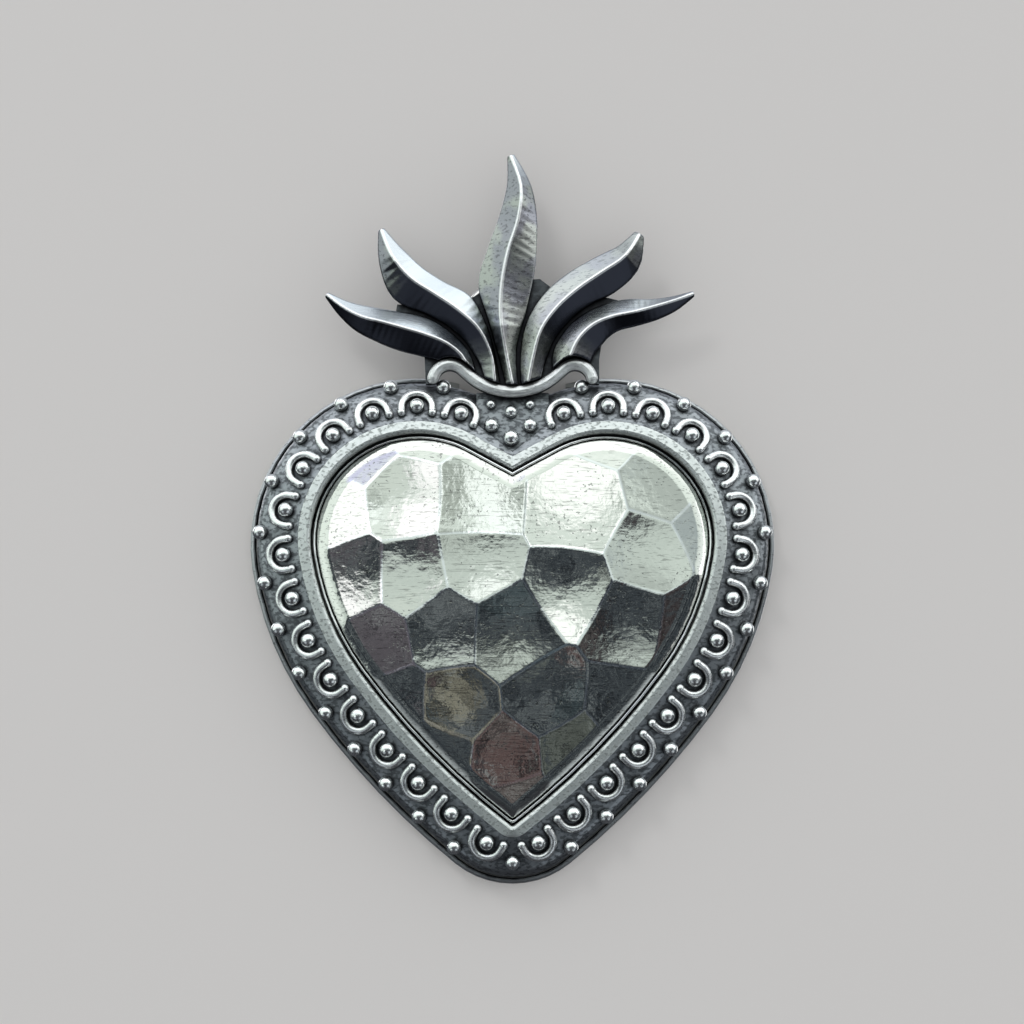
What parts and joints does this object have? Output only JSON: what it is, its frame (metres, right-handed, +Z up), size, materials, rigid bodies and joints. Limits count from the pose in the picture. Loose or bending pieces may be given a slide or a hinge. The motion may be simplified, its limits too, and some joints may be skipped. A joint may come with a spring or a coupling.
{
  "type": "flaming heart charm",
  "caption": "Upright heart charm in oxidised silver with a hammered domed centre, a border of wire arches and beads, flames above, and a hinged wire hanging loop behind.",
  "frame": {"origin": "on the flat back face, on the middle line, at the level where the heart is widest", "axes": "+Z up to the flames as the charm hangs, -Y out of the ornamented front, +X to the right as the front is seen"},
  "size_m": [0.0364, 0.0045, 0.0505],
  "materials": {
    "dull_silver": "sawn and sanded silver sheet with a dull tarnish",
    "bright_silver": "polished silver wire and beads, dark in the creases",
    "border_silver": "silver sheet blackened by oxidising and rubbed back",
    "hammered_silver": "planished and mirror polished silver with fine hairlines",
    "flame_silver": "filed silver with fine cross strokes and a polished ridge"
  },
  "bodies": {
    "charm": {"back_plate": "dull_silver", "edge_wire": "bright_silver", "border_shell": "border_silver", "inner_rim": "bright_silver", "hammered_heart": "hammered_silver", "arch_wires": "bright_silver", "arch_beads": "bright_silver", "edge_beads": "bright_silver", "cleft_beads": "bright_silver", "tip_bead": "bright_silver", "collar_wire": "bright_silver", "cleft_panel": "border_silver", "flame_plate": "border_silver", "flame_centre": "flame_silver", "flame_left_upper": "flame_silver", "flame_left_lower": "flame_silver", "flame_right_upper": "flame_silver", "flame_right_lower": "flame_silver", "hinge_knuckle": "dull_silver"},
    "loop": {"hanging_loop": "bright_silver"}
  },
  "joints": [
    {"name": "loop_hinge", "type": "hinge", "parent": "charm", "child": "loop", "pos_m": [0, -0.0014, 0.0128], "axis": [-1, 0, 0], "range_deg": [0, 110]}
  ]
}
